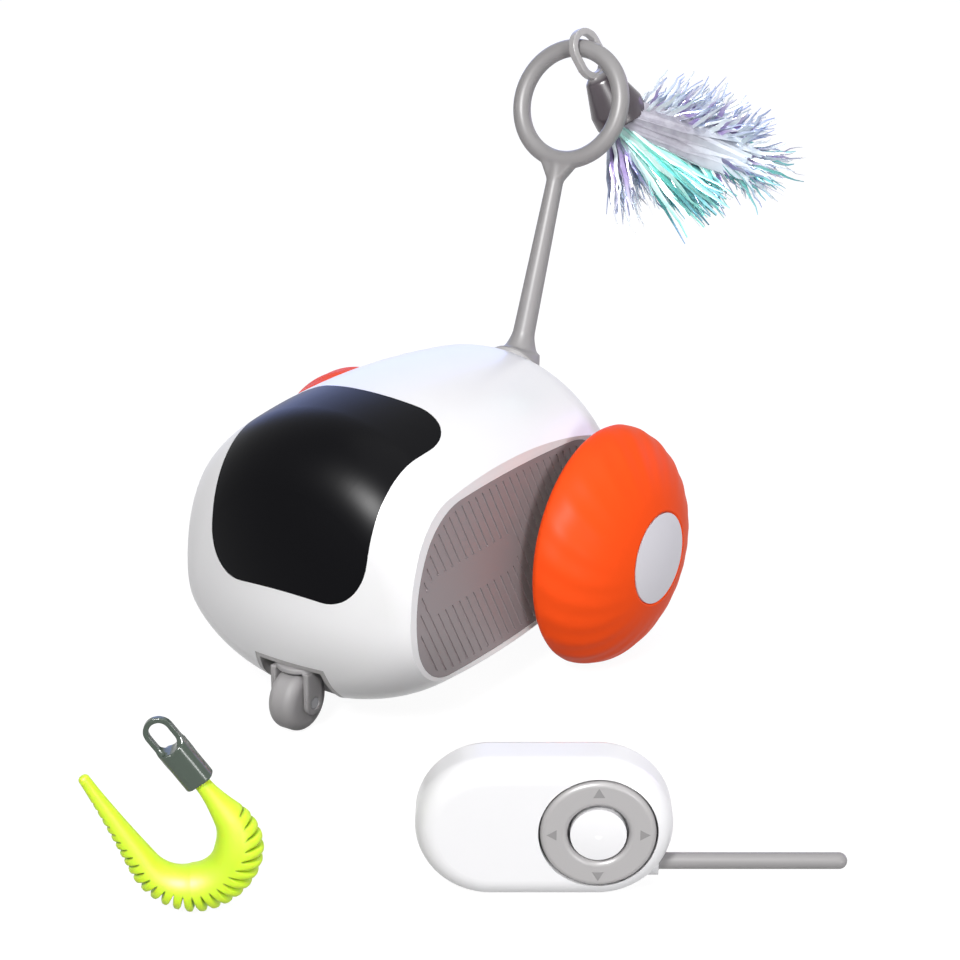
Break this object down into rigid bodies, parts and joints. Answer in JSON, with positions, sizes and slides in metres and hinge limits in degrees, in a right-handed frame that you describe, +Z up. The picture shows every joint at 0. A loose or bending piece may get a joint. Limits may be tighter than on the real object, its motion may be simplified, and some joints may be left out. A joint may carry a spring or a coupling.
{
  "type": "remote control car cat toy",
  "caption": "Egg-shaped toy car with domed fluted drive wheels, swivel caster, leaning lure mast with ring and tinsel lure, pill-shaped handset and a ribbed worm lure.",
  "frame": {"origin": "on the floor, straight below the middle of the drive axle", "axes": "+Z up, -Y the way the car faces, +X to the car's left wheel"},
  "size_m": [0.2137, 0.2815, 0.1565],
  "materials": {
    "shell_white": "gloss, smooth moulded",
    "visor_black": "mirror gloss",
    "panel_grey": "satin with fine leaning grooves",
    "trim_grey": "satin",
    "mast_rubber": "soft satin",
    "wheel_orange": "soft satin",
    "cap_white": "satin gloss",
    "gear_nylon": "satin",
    "steel": "brushed",
    "brass": "turned",
    "board_green": "solder mask",
    "cell_wrap": "shrink wrap",
    "clip_dark": "gloss",
    "worm_clip_dark": "gloss",
    "tinsel_aqua": "metallic foil strands",
    "worm_neon": "soft rubber",
    "knob_black": "matte",
    "pad_rubber": "silicone"
  },
  "bodies": {
    "car": {"main_shell": "shell_white", "belly_pan": "shell_white", "visor": "visor_black", "side_panel_left": "panel_grey", "side_panel_right": "panel_grey", "caster_well": "trim_grey", "tail_socket": "trim_grey", "tail_mast": "mast_rubber", "axle_bushes_left": "brass", "axle_bushes_right": "brass", "idler_pin_left": "steel", "idler_pin_right": "steel", "motor_left": "steel", "motor_right": "steel", "gearbox_frame_left": "trim_grey", "gearbox_frame_right": "trim_grey", "gearbox_cover_left": "trim_grey", "gearbox_cover_right": "trim_grey", "battery": "cell_wrap", "main_board": "board_green", "receiver_board": "board_green", "charge_port": "steel", "power_switch": "steel", "belly_screws": "steel"},
    "wheel_left": {"wheel_tyre_left": "wheel_orange", "wheel_hub_left": "gear_nylon", "hub_cap_left": "cap_white", "axle_left": "steel", "output_gear_left": "gear_nylon"},
    "idler_left": {"idler_gear_left": "gear_nylon"},
    "pinion_left": {"motor_pinion_left": "brass"},
    "wheel_right": {"wheel_tyre_right": "wheel_orange", "wheel_hub_right": "gear_nylon", "hub_cap_right": "cap_white", "axle_right": "steel", "output_gear_right": "gear_nylon"},
    "idler_right": {"idler_gear_right": "gear_nylon"},
    "pinion_right": {"motor_pinion_right": "brass"},
    "caster_swivel": {"caster_fork": "trim_grey"},
    "caster_rollers": {"caster_axle": "steel", "caster_roller": "trim_grey"},
    "power_knob": {"power_slider": "knob_black"},
    "lure": {"lure_clip": "clip_dark", "tinsel": "tinsel_aqua"},
    "handset": {"handset_top": "shell_white", "handset_base": "shell_white", "key_pad": "pad_rubber", "handset_board": "board_green", "coin_cell": "steel", "cell_contact": "brass", "whip_socket": "trim_grey", "whip": "mast_rubber", "handset_screws": "steel"},
    "rocker": {"rocker_plate": "trim_grey"},
    "ring": {"direction_ring": "trim_grey"},
    "button": {"centre_button": "shell_white"},
    "door": {"battery_door": "shell_white"},
    "worm": {"worm_clip": "worm_clip_dark", "worm_tail": "worm_neon"}
  },
  "joints": [
    {"name": "wheel_left_spin", "type": "hinge", "parent": "car", "child": "wheel_left", "pos_m": [0, 0, 0.0325], "axis": [1, 0, 0], "continuous": true},
    {"name": "idler_left_spin", "type": "hinge", "parent": "car", "child": "idler_left", "pos_m": [0, -0.01353, 0.03742], "axis": [1, 0, 0], "continuous": true},
    {"name": "pinion_left_spin", "type": "hinge", "parent": "car", "child": "pinion_left", "pos_m": [0, -0.02706, 0.0325], "axis": [1, 0, 0], "continuous": true},
    {"name": "wheel_right_spin", "type": "hinge", "parent": "car", "child": "wheel_right", "pos_m": [0, 0, 0.0325], "axis": [1, 0, 0], "continuous": true},
    {"name": "idler_right_spin", "type": "hinge", "parent": "car", "child": "idler_right", "pos_m": [0, -0.01353, 0.03742], "axis": [1, 0, 0], "continuous": true},
    {"name": "pinion_right_spin", "type": "hinge", "parent": "car", "child": "pinion_right", "pos_m": [0, -0.02706, 0.0325], "axis": [1, 0, 0], "continuous": true},
    {"name": "caster_turn", "type": "hinge", "parent": "car", "child": "caster_swivel", "pos_m": [0, -0.078, 0.018], "axis": [0, 0, 1], "continuous": true},
    {"name": "caster_roll", "type": "hinge", "parent": "caster_swivel", "child": "caster_rollers", "pos_m": [0, -0.0795, 0.0082], "axis": [1, 0, 0], "continuous": true},
    {"name": "power_slide", "type": "slide", "parent": "car", "child": "power_knob", "axis": [0, 1, 0], "range_m": [0, 0.003]},
    {"name": "lure_swing", "type": "hinge", "parent": "car", "child": "lure", "pos_m": [0.00108, 0.05609, 0.15077], "axis": [0.9279, -0.1613, 0.336], "range_deg": [-10, 60]},
    {"name": "handset_lift", "type": "slide", "parent": "car", "child": "handset", "axis": [0, 0, 1], "range_m": [0, 0.1]},
    {"name": "ring_rock_across", "type": "hinge", "parent": "handset", "child": "rocker", "pos_m": [0.10682, -0.10884, 0.017], "axis": [0, 0, 1], "range_deg": [-3, 3], "stiffness_Nm_per_rad": 0.3},
    {"name": "ring_rock_along", "type": "hinge", "parent": "rocker", "child": "ring", "pos_m": [0.10682, -0.10884, 0.017], "axis": [0.8348, 0.5505, 0], "range_deg": [-3, 3], "stiffness_Nm_per_rad": 0.3},
    {"name": "button_press", "type": "slide", "parent": "handset", "child": "button", "axis": [-0.5505, 0.8348, 0], "range_m": [0, 0.0007], "stiffness_N_per_m": 300},
    {"name": "door_turn", "type": "hinge", "parent": "handset", "child": "door", "pos_m": [0.08546, -0.11095, 0.017], "axis": [0.5505, -0.8348, 0], "range_deg": [0, 60]},
    {"name": "worm_lift", "type": "slide", "parent": "car", "child": "worm", "axis": [0, 0, 1], "range_m": [0, 0.1]}
  ],
  "couplings": [
    {"joint": "idler_left_spin", "follows": "wheel_left_spin", "ratio": -3},
    {"joint": "pinion_left_spin", "follows": "wheel_left_spin", "ratio": 9},
    {"joint": "idler_right_spin", "follows": "wheel_right_spin", "ratio": -3},
    {"joint": "pinion_right_spin", "follows": "wheel_right_spin", "ratio": 9}
  ]
}
